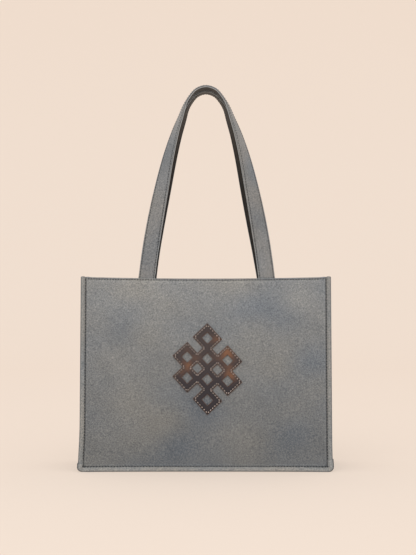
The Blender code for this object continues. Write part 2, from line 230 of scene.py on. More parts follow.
def makeSheet(name, outer, inner, material, attributes, slot, node):
    # two equal grids, the faces of a sheet, closed along their four edges; it stands for one solid
    rows, columns = outer.shape[:2]
    index = np.arange(rows * columns).reshape(rows, columns)
    top = gridQuads(index)
    edge = np.concatenate([index[0, :-1], index[:-1, -1], index[-1, :0:-1], index[:0:-1, 0]])
    after = np.roll(edge, -1)
    wall = np.stack([after, edge, edge + rows * columns, after + rows * columns], -1)
    quads = np.concatenate([top, top[:, ::-1] + rows * columns, wall])
    points = np.concatenate([outer.reshape(-1, 3), inner.reshape(-1, 3)])
    finishPiece(makeMesh(name, points, quads, material, attributes), slot, node)


# Sewing: each stitch is a short bent thread whose ends go down into the leather

# shares of the thread: how much thinner its ends are, its middle's height and how deep its ends go
stitchShape = {"thinner": 0.45, "height": 0.30, "dive": 0.95}


def stitchRow(points, normals, look):
    # evenly spaced threads along a line: six-sided tubes of five rings, highest in their middle,
    # whose width and height fall with the fourth power of the way to each end
    length = np.linalg.norm(np.diff(points, axis=0), axis=1).sum()
    count = max(1, round(length / look["pitch"]))
    line = evenly(np.hstack([points, normals]), 2 * count + 1)
    centre, up = line[1::2, :3], line[1::2, 3:]
    along = unit(line[2::2, :3] - line[:-1:2, :3])
    up = unit(up - along * (up * along).sum(1, keepdims=True))
    aside = np.cross(up, along)
    slant = math.radians(look["slant"])
    along, aside = (along * math.cos(slant) + aside * math.sin(slant),
                    aside * math.cos(slant) - along * math.sin(slant))
    rings, corners = 5, 6
    step = np.linspace(-1, 1, rings)
    turn = np.arange(corners) * 2 * np.pi / corners
    reach = look["pitch"] * look["share"] / 2
    width = look["thread"] / 2 * (1 - stitchShape["thinner"] * step ** 4)
    height = look["thread"] * (stitchShape["height"] - stitchShape["dive"] * step ** 4)
    ring = (centre[:, None, None] + along[:, None, None] * (step * reach)[None, :, None, None]
            + aside[:, None, None] * (width[:, None] * np.cos(turn))[None, ..., None]
            + up[:, None, None] * (height[:, None] + width[:, None] * np.sin(turn))[None, ..., None])
    index = np.arange(rings * corners).reshape(rings, corners)
    after = np.roll(index, -1, 1)
    side = np.stack([index[:-1], after[:-1], after[1:], index[1:]], -1)
    caps = [[0, 5, 2, 1], [5, 4, 3, 2], [24, 25, 26, 29], [29, 26, 27, 28]]
    quads = np.concatenate([side.reshape(-1, 4), caps])
    quads = (quads[None] + (np.arange(count) * rings * corners)[:, None, None]).reshape(-1, 4)
    return ring.reshape(-1, 3), quads


def makeStitches(name, rows, look, material, slot):
    # joins several rows of stitches, each a line with its normals, into one piece
    points, quads, start = [], [], 0
    for line, normals in rows:
        p, q = stitchRow(line, normals, look)
        points.append(p)
        quads.append(q + start)
        start += len(p)
    finishPiece(makeMesh(name, np.concatenate(points), np.concatenate(quads), material), slot)


# Suede: split leather, its face brushed up into a short nap,
# which makes it matt, softly lighter at its edges, and mottled where the nap lies different ways

suedeLook = {
    "warm": "#8f8f8c", "cool": "#777e86",
    "nap": 0.0020,    # clumps of fibres, drawn coarser than the real 0.3 mm so that they show
    "fibre": 0.0011, "contrast": 0.38,
    "roughness": 0.95, "sheen": 0.25,
}
clouds = {
    "cool": 0.42, "coolSwing": 0.22, "coolSpan": (0.20, 0.05),    # how blue; longest and shortest wave
    "toneSwing": 0.035, "toneSpan": (0.16, 0.03),
    "depthShare": 0.8,    # how much depth counts beside width, so that the waves go on round the sides
}
insideShade, hiddenShade = 0.88, 0.8    # brightness of the bag's inside, and of faces in a seam


def suedeMaterial(name, look):
    # the attribute cool says how blue the nap is and tone how bright, painted shade and highlights
    # included, both worked out with the mesh
    material, tree = newMaterial(name)
    place = addNode(tree, "TexCoord").outputs["Object"]
    cool, tone = (addNode(tree, "Attribute", attribute_name=key).outputs["Fac"]
                  for key in ("cool", "tone"))
    nap = addNode(tree, "TexNoise", {
        "Vector": place, "Scale": 1 / look["nap"], "Detail": 2.0, "Roughness": 0.7})
    fibre = addNode(tree, "TexNoise", {
        "Vector": place, "Scale": 1 / look["fibre"], "Detail": 1.0, "Roughness": 0.6, "Distortion": 1.5})
    flecks = addNode(tree, "MapRange", {
        "Value": nap, "From Min": 0.3, "From Max": 0.7, "To Min": 0.25, "To Max": -0.25})
    mixed = addNode(tree, "Math", {0: cool, 1: flecks}, operation="ADD", use_clamp=True)
    hue = addNode(tree, "Mix", {"Factor": mixed, "A": look["warm"], "B": look["cool"]}, data_type="RGBA")
    clumps = addNode(tree, "Math", {0: nap, 1: fibre}, operation="ADD")
    grain = addNode(tree, "MapRange", {
        "Value": clumps, "From Min": 0.7, "From Max": 1.3,
        "To Min": 1 - look["contrast"], "To Max": 1 + look["contrast"]})
    bright = addNode(tree, "Math", {0: grain, 1: tone}, operation="MULTIPLY")
    colour = addNode(tree, "VectorMath", {0: hue, 1: bright}, operation="MULTIPLY")
    lift = addNode(tree, "Bump", {"Height": clumps, "Strength": 0.5, "Distance": 0.0006})
    shader = addNode(tree, "BsdfPrincipled", {
        "Base Color": colour, "Normal": lift,
        "Roughness": look["roughness"], "Specular IOR Level": 0.15,
        "Sheen Weight": look["sheen"], "Sheen Roughness": 0.5, "Sheen Tint": "#c9cbce"})
    addNode(tree, "OutputMaterial", {"Surface": shader})
    return material


def napTone(points, seed, shade=1.0, patches=(), swing=1.0):
    # how blue and how bright the nap lies: slow waves over the piece, brushed patches, and shade, the
    # painted shade and highlights of creases, grooves, folds and edges
    across, up = points[..., 0] + clouds["depthShare"] * points[..., 1], points[..., 2]
    cool = clouds["cool"] + clouds["coolSwing"] * swing * waves(across, up, seed, *clouds["coolSpan"])
    tone = 1 + clouds["toneSwing"] * swing * waves(across, up, seed + 1, *clouds["toneSpan"])
    for right, above, radius, cooler, lighter in patches:
        near = np.exp(-((across - right) ** 2 + (up - above) ** 2) / radius ** 2)
        cool, tone = cool + cooler * near, tone + lighter * near
    return {"cool": np.clip(cool, 0, 1), "tone": tone * shade}


def bothFaces(outer, inner):
    # attributes of a sheet's two faces, one after the other as makeSheet puts them
    return {key: np.concatenate([outer[key].ravel(), inner[key].ravel()]) for key in outer}


panelSuede = suedeMaterial("brushedSuede", suedeLook)
bindingSuede = suedeMaterial("bindingSuede", dict(suedeLook, warm="#94928d", cool="#7b8288"))
handleSuede = suedeMaterial("handleSuede", dict(suedeLook, warm="#908e8b", cool="#797f85"))


# Full-grain leather, dyed through and oiled, which makes it dark, with a low satin gloss and fine pores

backingLook = {"colour": "#181615", "worn": "#2f2a26", "edge": "#a0a2a3", "grain": 0.0012}


def leatherMaterial(name, look):
    material, tree = newMaterial(name)
    place = addNode(tree, "TexCoord").outputs["Object"]
    grain = addNode(tree, "TexVoronoi", {"Vector": place, "Scale": 1 / look["grain"]})
    patches = addNode(tree, "TexNoise", {"Vector": place, "Scale": 60.0, "Detail": 3.0})
    colour = addNode(tree, "Mix", {
        "Factor": patches, "A": look["colour"], "B": look["worn"]}, data_type="RGBA")
    edge = addNode(tree, "Attribute", attribute_name="edge").outputs["Fac"]
    edged = addNode(tree, "Mix", {"Factor": edge, "A": colour, "B": look["edge"]}, data_type="RGBA")
    lift = addNode(tree, "Bump", {"Height": grain, "Strength": 0.3, "Distance": 0.0003})
    shader = addNode(tree, "BsdfPrincipled", {
        "Base Color": edged, "Normal": lift, "Roughness": 0.6, "Specular IOR Level": 0.35})
    addNode(tree, "OutputMaterial", {"Surface": shader})
    return material


backingLeather = leatherMaterial("dyedBackingLeather", backingLook)


# Waxed polyester thread, twisted tight: smooth, slightly shiny, lighter and darker along its twist in
# painted light and shade

def threadMaterial(name, colour, roughness):
    material, tree = newMaterial(name)
    place = addNode(tree, "TexCoord").outputs["Object"]
    twist = addNode(tree, "TexNoise", {"Vector": place, "Scale": 900.0, "Detail": 1.0})
    # painted light and shade for the twist
    light = addNode(tree, "MapRange", {
        "Value": twist, "From Min": 0.3, "From Max": 0.7, "To Min": 0.7, "To Max": 1.3})
    mixed = addNode(tree, "VectorMath", {0: hexColour(colour)[:3], 1: light}, operation="MULTIPLY")
    shader = addNode(tree, "BsdfPrincipled", {"Base Color": mixed, "Roughness": roughness})
    addNode(tree, "OutputMaterial", {"Surface": shader})
    return material


darkThread = threadMaterial("waxedDarkThread", "#22252a", 0.6)
paleThread = threadMaterial("waxedPaleThread", "#e8d5cc", 0.6)
print("materials ready")


# Panels: front and back, each with its rim turned in and sewn 2 mm below the fold

panel = {
    "corner": 0.006,    # radius of its bottom corners
    "hem": 0.0032, "hemDepth": 0.030, "hemEdge": 0.0007, "hemEnds": (0.0040, 0.0046),
    "stitchDown": 0.0024, "stitchGroove": 0.00045, "grooveWidth": 0.0009, "pucker": (0.6, 0.4),
    "ridge": (0.00035, 0.0012, 0.0016),    # the suede swells beside the bound edge: height, place, width
    "dents": 0.00045, "dentSpan": (0.16, 0.05),
    "fadeSeam": (0.012, 0.05), "fadeRim": (0.004, 0.04),
    "bright": 1.135, "fall": 0.41, "fallPower": 0.8,    # painted shade: darker from the rim down to the floor, where less of the light from above falls
    # painted shade in the crease beside the bound edge, at the rim's fold and in its stitch groove, and
    # painted highlights on the swells beside them: by, place, width
    "seamPaintedShading": ((-0.34, 0, 0.0010), (0.10, 0.0025, 0.0011)),
    "rimPaintedShading": ((-0.16, 0, 0.0010), (-0.22, 0.0024, 0.0009), (0.10, 0.0050, 0.0016)),
    "swing": 0.6,    # its clouds of nap, as a share of the usual
    # the front's brushed patches: right of and above the bag's foot, radius, bluer, brighter
    "patches": ((-0.156, 0.203, 0.024, 0.40, -0.05), (0.076, 0.237, 0.036, 0.35, -0.02),
                (0.115, 0.172, 0.032, 0.38, -0.03), (-0.053, 0.097, 0.030, 0.42, -0.06),
                (0.087, 0.055, 0.042, 0.40, -0.07), (-0.086, 0.032, 0.028, 0.35, -0.06),
                (-0.156, 0.130, 0.030, -0.3, -0.03), (-0.164, 0.052, 0.030, -0.10, 0.00),
                (-0.123, 0.259, 0.042, -0.2, 0.02), (0.012, 0.069, 0.024, -0.1, -0.02),
                (-0.025, 0.250, 0.036, -0.1, 0.02), (0.115, 0.259, 0.024, -0.1, 0.05),
                (0.142, 0.112, 0.032, -0.2, 0.02)),
}
rimLook = {"pitch": 0.0042, "share": 0.72, "thread": 0.0011, "slant": 4}


def panelRelief(x, z, side):
    # slow dents, dying out towards the seams and the rim
    fade = smoothStep(halfWidth - np.abs(x), *panel["fadeSeam"]) * smoothStep(z, *panel["fadeSeam"])
    fade = fade * smoothStep(bag["height"] - z, *panel["fadeRim"])
    return panel["dents"] * fade * waves(x, z, seeds["dents"] + side, *panel["dentSpan"])


def makePanel(word, side):
    # rows run up the panel and columns across, closest beside the seams and at the rim;
    # the face falls along a quarter circle at the folded rim
    reach, seam = halfWidth - bag["setback"], halfWidth - bag["seam"]
    before, past = seam - 0.006, seam + 0.0022
    right = stretches((0, before, 124), (before, past, 20), (past, reach, 3))
    x = np.concatenate([-right[:0:-1], right])[None, :]
    run = np.maximum(0, np.abs(x) - (reach - panel["corner"]))
    low = bag["setback"] + panel["corner"] - np.sqrt(np.maximum(0, panel["corner"] ** 2 - run ** 2))
    hemStart = bag["height"] - panel["hemDepth"]
    stops = (bag["setback"], bag["seam"] - 0.001, bag["seam"] + 0.005, hemStart - 0.002, hemStart,
             hemStart + 0.004, bag["height"] - 0.007, bag["height"])
    levels = stretches(*zip(stops[:-1], stops[1:], (3, 15, 62, 3, 3, 7, 26)))
    share = (levels[:, None] - levels[0]) / (levels[-1] - levels[0])
    z = low + (bag["height"] - low) * share
    down = bag["height"] - z
    fold = roundedEdge(down, panel["hem"] / 2)
    steady, wavy = panel["pucker"]    # each stitch draws its groove down
    pucker = steady + wavy * np.cos(2 * np.pi * x / rimLook["pitch"])
    groove = pucker * bands(down, [(panel["stitchGroove"], panel["stitchDown"], panel["grooveWidth"])])
    inside = np.minimum(seam - np.abs(x), z - bag["seam"])
    ridge = bands(inside, [panel["ridge"]])
    outer = onPanel(x, z, fold + groove - ridge - panelRelief(x, z, side), side)
    inHem = smoothStep(z, hemStart - panel["hemEdge"], hemStart)
    inHem = inHem * smoothStep(seam - np.abs(x), *panel["hemEnds"])
    thick = bag["suede"] + (panel["hem"] - bag["suede"]) * inHem
    foldInside = roundedEdge(down, panel["hem"] / 2) * (thick > bag["suede"] * 1.2)    # where the hem is
    inner = onPanel(x, z, thick - foldInside - panelRelief(x, z, side), side)
    # painted shade: the panel gets darker towards the floor
    shade = panel["bright"] - panel["fall"] * (1 - z / bag["height"]) ** panel["fallPower"]
    # painted shade in the creases, fold and stitch groove, and painted highlights beside them
    shade = shade + bands(inside, panel["seamPaintedShading"]) + bands(down, panel["rimPaintedShading"])
    patches = panel["patches"] if side < 0 else ()
    tones = bothFaces(napTone(outer, seeds["panel"] + side, shade, patches, panel["swing"]),
                      napTone(inner, seeds["panelInside"] + side, insideShade))
    makeSheet(f"{word}Panel", outer, inner, panelSuede, tones, "suede", f"{word}_panel")
    atStitch = np.abs(levels - (bag["height"] - panel["stitchDown"])).argmin()
    keep = np.abs(x[0]) < seam - 0.0012    # clear of the side strips
    normals = gridNormals(outer, 1, side)
    return outer[atStitch, keep], normals[atStitch, keep]


rimRows = {word: makePanel(word, side) for word, side in sides.items()}
for word, row in rimRows.items():
    makeStitches(f"{word}RimStitches", [row], rimLook, darkThread, "suede")
print("panels ready")


# Gussets: the sides, each a channel that bows inwards, its edges turned out into the seams

gusset = {
    "bowLow": 0.002, "bowTop": 0.009, "dip": 0.005,    # inward bow at floor and rim, and the rim's dip
    "edge": 0.0005, "dents": 0.0006, "dentSpan": (0.10, 0.035),
    "fadeSeam": (0.004, 0.012), "fadeFloor": (0.012, 0.04),
}


def makeGusset(word, side):
    # a section from the front seam's edge round its bend, over the bowed middle and mirrored to the back
    low = bag["seam"] + bag["suede"] + bag["gap"]
    middle = halfWidth - bag["seam"] - bag["suede"]
    bend = bag["seamBend"]
    flange = np.linspace(halfWidth - bag["setback"], middle + bend, 5)
    turn = np.linspace(0, np.pi / 2, 7)[1:]
    shares = np.cos(np.linspace(0, np.pi / 2, 22))[1:-1]
    levels = np.linspace(0, 1, 70)[:, None]
    z = low + levels * (bag["height"] - low)
    depth = halfDepth(z)
    xTurn = middle + bend - bend * np.sin(turn)[None]
    yTurn = seamMiddle + bend - bend * np.cos(turn)[None] - depth
    dip = gusset["dip"] * (1 - shares ** 2) ** 2
    zWeb = low + levels * (bag["height"] - dip - low)
    bow = gusset["bowLow"] + (gusset["bowTop"] - gusset["bowLow"]) * levels
    xWeb = middle - bow * (1 - shares ** 2) ** 2
    yWeb = -shares * (halfDepth(zWeb) - seamMiddle - bend)
    grid = mirrored([pointsAt(flange[None], seamMiddle - depth, z), pointsAt(xTurn, yTurn, z),
                     pointsAt(xWeb, yWeb, zWeb)])
    y, z = grid[..., 1], grid[..., 2]
    fade = smoothStep(halfDepth(z) - np.abs(y), *gusset["fadeSeam"]) * smoothStep(z, *gusset["fadeFloor"])
    swell = waves(y, z, seeds["gussetDents"] + side, *gusset["dentSpan"])
    grid[..., 0] += gusset["dents"] * fade * swell
    grid[..., 0] = side * spreadOut(grid[..., 0], z)
    fromTop = bag["height"] - z
    half = bag["suede"] / 2 - roundedEdge(fromTop - fromTop[-1:], gusset["edge"])
    thick = gridNormals(grid, 0, side) * half[..., None]
    tones = bothFaces(napTone(grid, seeds["gusset"] + side),
                      napTone(grid, seeds["gussetInside"] + side, insideShade))
    makeSheet(f"{word}Gusset", grid + thick, grid - thick, panelSuede, tones, "suede", f"{word}_gusset")


makeGusset("left", -1)
makeGusset("right", 1)


# Base: a shallow channel upside down, its edges turned down into the seams

base = {"lift": bag["seam"], "sag": 0.0012}


def makeBase():
    # a section from the front seam's lower edge over the bend and the slightly hanging middle to the back
    end = halfWidth - bag["seam"] - bag["gap"] - bag["suede"] / 2
    web = base["lift"] + bag["suede"] / 2
    bend = bag["seamBend"]
    x = np.linspace(-end, end, 120)[:, None]
    zEdge = np.linspace(bag["setback"], web - bend, 5)[None]
    turn = np.linspace(0, np.pi / 2, 7)[None, 1:]
    shares = np.linspace(1, 0, 14)[None, 1:-1]
    zTurn = web - bend + bend * np.sin(turn)
    yTurn = seamMiddle + bend - bend * np.cos(turn) - halfDepth(zTurn)
    hang = base["sag"] * (1 - (x / end) ** 4) * (1 - shares ** 2)
    yWeb = shares * (seamMiddle + bend - halfDepth(web))
    grid = mirrored([pointsAt(x, seamMiddle - halfDepth(zEdge), zEdge), pointsAt(x, yTurn, zTurn),
                     pointsAt(x, yWeb, web - hang)])
    grid[..., 0] = spreadOut(grid[..., 0], grid[..., 2])
    thick = gridNormals(grid, 2, 1) * bag["suede"] / 2
    tones = bothFaces(napTone(grid, seeds["baseInside"], insideShade), napTone(grid, seeds["base"]))
    makeSheet("basePanel", grid + thick, grid - thick, panelSuede, tones, "suede", "base_panel")


makeBase()
print("gussets and base ready")


# Bound edges: a strip folded over each seam, stitched down close to its inner edge

binding = {
    "width": bag["seam"], "backWidth": 0.0065, "thickness": 0.0012, "bend": 0.0018,
    "proud": {-1: 0.0012, 1: 0.0004},    # above the rim, at the front and at the back
    "corner": 0.0075, "innerCorner": 0.001, "topRound": 0.0026, "topInner": 0.0034,
    "lapStart": 0.0090,    # height where the side strips begin, under the bottom one,
    "lap": {"left": 0.0130, "right": 0.0190},    # and where the bottom strip ends on them
    "crown": 0.0006,    # how far the front lip swells between the fold and its stitches
    "stitchIn": 0.0006,    # stitches from the lip's edge
    "sewnFrom": 0.016, "sewnTo": 0.0035, "lapClear": 0.002,    # from the floor, the top and the lap's end
    "pull": 0.0006,    # how far they draw the lip's edge down
    "skived": 0.5, "skivedLength": 0.008,    # the lap's ends thin to this share over this length
    "arch": 0.0008,    # the bottom edge stands clear of the floor by this between its corners
    "sideLook": {"bright": 0.98, "rim": 0.45},    # how bright, and how much painted shade, darker and bluer, round the folded edge
    # the bottom strip's deeper painted shade round its lower edge stands for the contact shadow under it
    "bottomLook": {"bright": 1.14, "rim": 0.85},
    "paintedFoldShadeBlue": 0.5, "swing": 0.5,
    # painted shade in the crease along the lip's edge, and a painted highlight on the crown
    "pullWidth": 0.0012, "lipPaintedShade": (-0.45, 0, 0.0012), "crownPaintedHighlight": (0.12, 0.60, 0.14),
}
bindingLook = {"pitch": 0.0044, "share": 0.66, "thread": 0.0014, "slant": 5}


def bindingProfile(bright):
    # (inwards, inset) from the front lip's edge round the fold to the back lip's, with the outward
    # direction, the distance from the nearer lip's edge, the extra swell of the front lip,
    # how bright it is with a painted shade in its crease and a painted highlight on its crown, and how far
    # round the front's edge it lies, where painted shade falls
    t, bend = binding["thickness"], binding["bend"]
    across = t / 2 + bend
    near = bend - bag["gap"] - t / 2
    far = 2 * bag["suede"] + 2 * bag["gap"] + t / 2 - bend
    lip = binding["width"] - stretches((0, 0.0024, 9), (0.0024, binding["width"] - across, 7))
    turn = np.linspace(0, np.pi / 2, 8)
    backLip = across + stretches((0, binding["backWidth"] - across - 0.001, 4),
                                 (binding["backWidth"] - across - 0.001, binding["backWidth"] - across, 5))
    sine, cosine = np.sin(turn), np.cos(turn)
    inwards, inset, outIn, outInset = np.concatenate([
        pointsAt(lip, near - bend, 0, -1),
        pointsAt(across - bend * sine, near - bend * cosine, -sine, -cosine)[1:],
        pointsAt(across - bend * cosine, far + bend * sine, -cosine, sine),
        pointsAt(backLip, far + bend, 0, 1)[1:]]).T
    onFront = np.arange(len(inwards)) < len(lip) + len(turn) - 1
    fromLip = np.where(onFront, binding["width"] - inwards, binding["backWidth"] - inwards)
    share = np.clip(fromLip / binding["width"], 0, 1)
    swell = binding["crown"] * np.sin(np.pi * share)
    swell = swell - bands(fromLip, [(binding["pull"], 0, binding["pullWidth"])])
    # painted shade in the crease at the lip, painted highlight on the crown
    tone = bright + bands(fromLip, [binding["lipPaintedShade"]]) + bands(share, [binding["crownPaintedHighlight"]])
    # where painted shade falls round the front's folded edge
    rim = smoothStep(outInset, -1.0, -0.6) * onFront
    return inwards, inset, outIn, outInset, fromLip, np.where(onFront, swell, 0), tone, rim


def sweepBinding(name, side, stations, node):
    # carries the profile along stations, each an (x, z) on the bag's edge, one on the strip's inner edge,
    # how much the strip grows outwards there, and its distance from the strip's end
    look = binding["bottomLook"] if "lap" in stations else binding["sideLook"]
    inwards, inset, outIn, outInset, fromLip, swell, tone, rim = bindingProfile(look["bright"])
    edge, inner, grow = stations["edge"], stations["inner"], stations["grow"][:, None]
    half = binding["thickness"] / 2 - roundedEdge(fromLip, binding["thickness"] / 2)[None]
    half = half - roundedEdge(stations["fromEnd"][:, None], binding["thickness"] / 2)
    thin = smoothStep(stations["fromEnd"], 0, binding["skivedLength"])[:, None] if "lap" in stations else 1
    thinnest = 0.00005
    half = np.maximum(half, thinnest) * (binding["skived"] + (1 - binding["skived"]) * thin)
    grids = []
    for offset in (half + swell[None], -half + swell[None]):
        share = (inwards + outIn * (offset + grow)) / binding["width"]
        depth = inset + outInset * (offset + grow)
        x = edge[:, :1] + (inner[:, :1] - edge[:, :1]) * share
        z = edge[:, 1:] + (inner[:, 1:] - edge[:, 1:]) * share
        if "round" in stations:
            drop = roundedEdge(np.maximum(inwards, 0), binding["topRound"])
            drop = drop + roundedEdge(fromLip, binding["topInner"])
            z = z - stations["round"][:, None] * drop[None]
        else:
            z = z + binding["arch"] * np.clip(1 - (x / (halfWidth - 0.02)) ** 2, 0, 1) ** 0.5
        grids.append(pointsAt(spreadOut(x, z), side * (halfDepth(z) - depth), z))
    # painted shade round the folded edge, darker and bluer
    shade = (tone - look["rim"] * rim)[None]
    outside = napTone(grids[0], seeds["binding"] + len(name), shade, (), binding["swing"])
    outside["cool"] = np.clip(outside["cool"] + binding["paintedFoldShadeBlue"] * rim, 0, 1)
    tones = bothFaces(outside, napTone(grids[1], seeds["bindingInside"], hiddenShade))
    makeSheet(name, *grids, bindingSuede, tones, "binding", node)
    column = np.abs(fromLip[:len(fromLip) // 2] - binding["stitchIn"]).argmin()
    return grids[0][:, column], gridNormals(grids[0], 1, side, column)[:, column]


def makeSideBinding(word, hand, side, across):
    # stations straight up one side; the top end rounds over and its outer corner is cut round
    top = bag["height"] + binding["proud"][side]
    z = stretches((binding["lapStart"], 0.03, 12), (0.03, top - 0.004, 120), (top - 0.004, top, 12))
    edge = pointsAt(across * halfWidth, z)
    inner = pointsAt(across * (halfWidth - binding["width"]), z)
    stations = {"edge": edge, "inner": inner, "grow": np.zeros(len(z)), "fromEnd": top - z,
                "round": smoothStep(z, top - 0.02, top)}
    line, normals = sweepBinding(f"{word}{hand}Binding", side, stations, f"{word}_{hand.lower()}_binding")
    # stitches keep clear of the bottom strip and the round top
    keep = (line[:, 2] > binding["sewnFrom"]) & (line[:, 2] < top - binding["sewnTo"])
    return line[keep], normals[keep]


def makeBottomBinding(word, side):
    # stations along the bottom, round both corners and a little way up over the side strips
    corner, small = binding["corner"], binding["innerCorner"]
    seam, lift = halfWidth - binding["width"], binding["thickness"] + bag["gap"]
    run = np.linspace(0, 1, 130)[:-1] * (seam - small)
    halves = {}
    for hand in ("left", "right"):
        angle = np.linspace(0, np.pi / 2, 16)
        out, up = np.sin(angle), 1 - np.cos(angle)
        rise = stretches((corner, binding["lap"][hand] - 0.001, 6),
                         (binding["lap"][hand] - 0.001, binding["lap"][hand], 6))[1:]
        startIn = binding["width"] + small
        riseIn = startIn + (rise - corner) / (rise[-1] - corner) * (binding["lap"][hand] - 0.0005 - startIn)
        # edge across and up, inner edge across and up, growth outwards, distance from the end
        halves[hand] = np.concatenate([
            pointsAt(run, 0, run, binding["width"], 0, 1),
            pointsAt(halfWidth - corner + corner * out, corner * up,
                     seam - small * (1 - out), binding["width"] + small * up, lift * out ** 2, 1),
            pointsAt(halfWidth, rise, seam, riseIn, lift, rise[-1] - rise)])
    joined = np.concatenate([halves["left"][:0:-1] * [-1, 1, -1, 1, 1, 1], halves["right"]])
    stations = {"edge": joined[:, :2], "inner": joined[:, 2:4], "grow": joined[:, 4],
                "fromEnd": joined[:, 5], "lap": True}
    line, normals = sweepBinding(f"{word}BottomBinding", side, stations, f"{word}_bottom_binding")
    keep = line[:, 2] < binding["lap"]["left"] - binding["lapClear"]
    return line[keep], normals[keep]


for word, side in sides.items():
    rows = [makeBottomBinding(word, side)]
    rows += [makeSideBinding(word, hand, side, across) for hand, across in (("Left", -1), ("Right", 1))]
    makeStitches(f"{word}BindingStitches", rows, bindingLook, darkThread, "binding")
print("bound edges ready")


# Handles: two layers, suede outside and dark leather inside, that twist until both loops meet at the top

handle = {
    "width": 0.025, "layer": 0.0015, "spacing": 0.183, "rise": 0.2932, "shift": 0.0012,
    "tail": 0.028, "tailSlope": 0.10,
    "turn": 93.0, "turnStart": 0.14, "turnEase": 1.1,    # degrees at the top, share of the rise, power
    "apart": 0.001, "drift": 0.0011,
    # how far the rear loop departs from the front one
    "back": {"lower": 0.003, "narrower": 0.0027, "tighter": 0.06, "aside": 0.0026},
    "up": (0, 0.16, 0.33, 0.50, 0.64, 0.76, 0.85, 0.915, 0.957, 0.987, 1),    # of the rise
    "out": (1, 0.933, 0.842, 0.736, 0.637, 0.530, 0.427, 0.351, 0.258, 0.152, 0),    # of half the spacing
    "rows": 300, "edge": 0.00065, "crown": 0.00025, "crownSpan": (0.002, 0.007),
    "stitchIn": 0.0022, "groove": 0.0003, "grooveWidth": 0.0007,
    "bright": 1.08, "midDark": 0.16,    # at the rim and the top, and how much darker between them
    "tones": ((0.20, 0, 0.0009), (-0.28, 0.0022, 0.0007)),    # from its edges: a painted highlight along them and a painted shade in the stitch grooves: brighter by, place, width
    "paleEdge": (-0.0008, -0.0003),    # the backing's cut edge is pale from here to here
}
handleStitch = {"pitch": 0.0040, "share": 0.68, "thread": 0.0011, "slant": 5}
rimMiddle = bag["height"] - bag["rimSag"]


def smoothLine(points, count):
    # Catmull-Rom curve through the points, then spaced evenly along its own length
    p = np.vstack([points[:1], points, points[-1:]])
    t = np.linspace(0, 1, 24, endpoint=False)[None, :, None]
    a, b, c, d = (p[k:len(p) - 3 + k, None] for k in range(4))
    square, cube = 2 * a - 5 * b + 4 * c - d, 3 * b - a - 3 * c + d
    fine = 0.5 * (2 * b + (c - a) * t + square * t ** 2 + cube * t ** 3)
    return evenly(np.vstack([fine.reshape(-1, points.shape[1]), points[-1:]]), count)


def handleLine(side):
    # the band's middle from the left sewn end over the loop to the right one
    own = handle["back"] if side > 0 else dict.fromkeys(handle["back"], 0)
    up, out = np.array(handle["up"]), np.array(handle["out"])
    half = handle["spacing"] / 2
    tail = np.array([[half + handle["tailSlope"] * handle["tail"], rimMiddle - handle["tail"]]])
    start = np.array([[half, rimMiddle]])
    out = half * out * (1 - own["tighter"] * up ** 3) - own["narrower"] * np.sin(np.pi * up)
    arch = pointsAt(out, rimMiddle + (handle["rise"] - own["lower"]) * up)
    right = np.vstack([tail, (tail + start) / 2, arch])
    line = smoothLine(np.vstack([right * [-1, 1], right[-2::-1]]), handle["rows"])
    share = np.clip((line[:, 1] - rimMiddle) / handle["rise"], 0, 1)
    lean = handle["drift"] * share ** 3 + own["aside"] * np.sin(np.pi * share) * (1 - share)
    x, z = line[:, 0] + handle["shift"] - lean, line[:, 1]
    inset = panel["hem"] + bag["gap"] + handle["layer"] + bag["gap"] / 2
    below = onPanel(x, z + bag["rimSag"] * (1 - (x / halfWidth) ** 2), inset, side)[..., 1]
    begin = halfDepth(bag["height"]) + bulge(half, bag["height"]) - inset
    lean = (bag["mouthDepth"] - bag["baseDepth"]) / 2 / bag["height"] * handle["rise"]
    above = begin * (1 + 2 * share) * (1 - share) ** 2 + lean * share * (1 - share) ** 2
    above = side * (above + (handle["width"] + handle["apart"]) / 2 * share ** 2 * (3 - 2 * share))
    return pointsAt(x, np.where(z <= rimMiddle, below, above), z)


